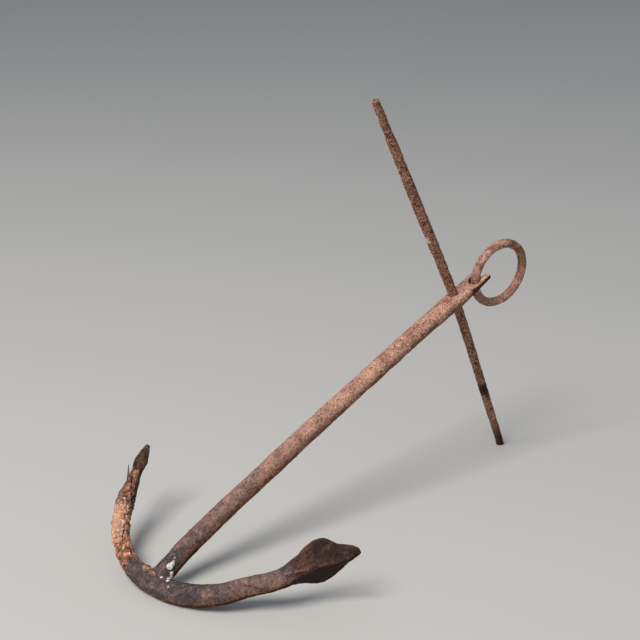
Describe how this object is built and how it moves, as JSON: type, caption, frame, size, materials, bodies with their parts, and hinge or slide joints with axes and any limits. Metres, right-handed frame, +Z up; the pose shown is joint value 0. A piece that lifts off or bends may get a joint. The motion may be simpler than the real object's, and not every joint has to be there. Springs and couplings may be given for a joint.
{
  "type": "small stocked anchor, old and rusted",
  "caption": "Small hand-forged stocked anchor, badly rusted: curved arms with one palm left, a long round shank, a straight stock through its head, and a ring in a worn eye.",
  "frame": {"origin": "on the table, under the middle of the whole anchor's box", "axes": "+X runs level from the crown towards the head and ring, +Y towards the wasted arm, +Z up"},
  "size_m": [0.6784, 0.3858, 0.5677],
  "materials": {
    "forging_rust": "smooth purple-brown rust with small pale flecks, orange scale on the wasted arm",
    "stock_rust": "dark brown pitted rust, speckled with ochre",
    "ring_rust": "reddish brown rust, finely pitted"
  },
  "bodies": {
    "anchor": {"shank_and_arms": "forging_rust", "stock": "stock_rust"},
    "ring": {"ring": "ring_rust"}
  },
  "joints": [
    {"name": "ring_swing", "type": "hinge", "parent": "anchor", "child": "ring", "pos_m": [0.22928, 0.00039, 0.28473], "axis": [-0.4368, -0.099, 0.8941], "range_deg": [-140, 150]}
  ]
}
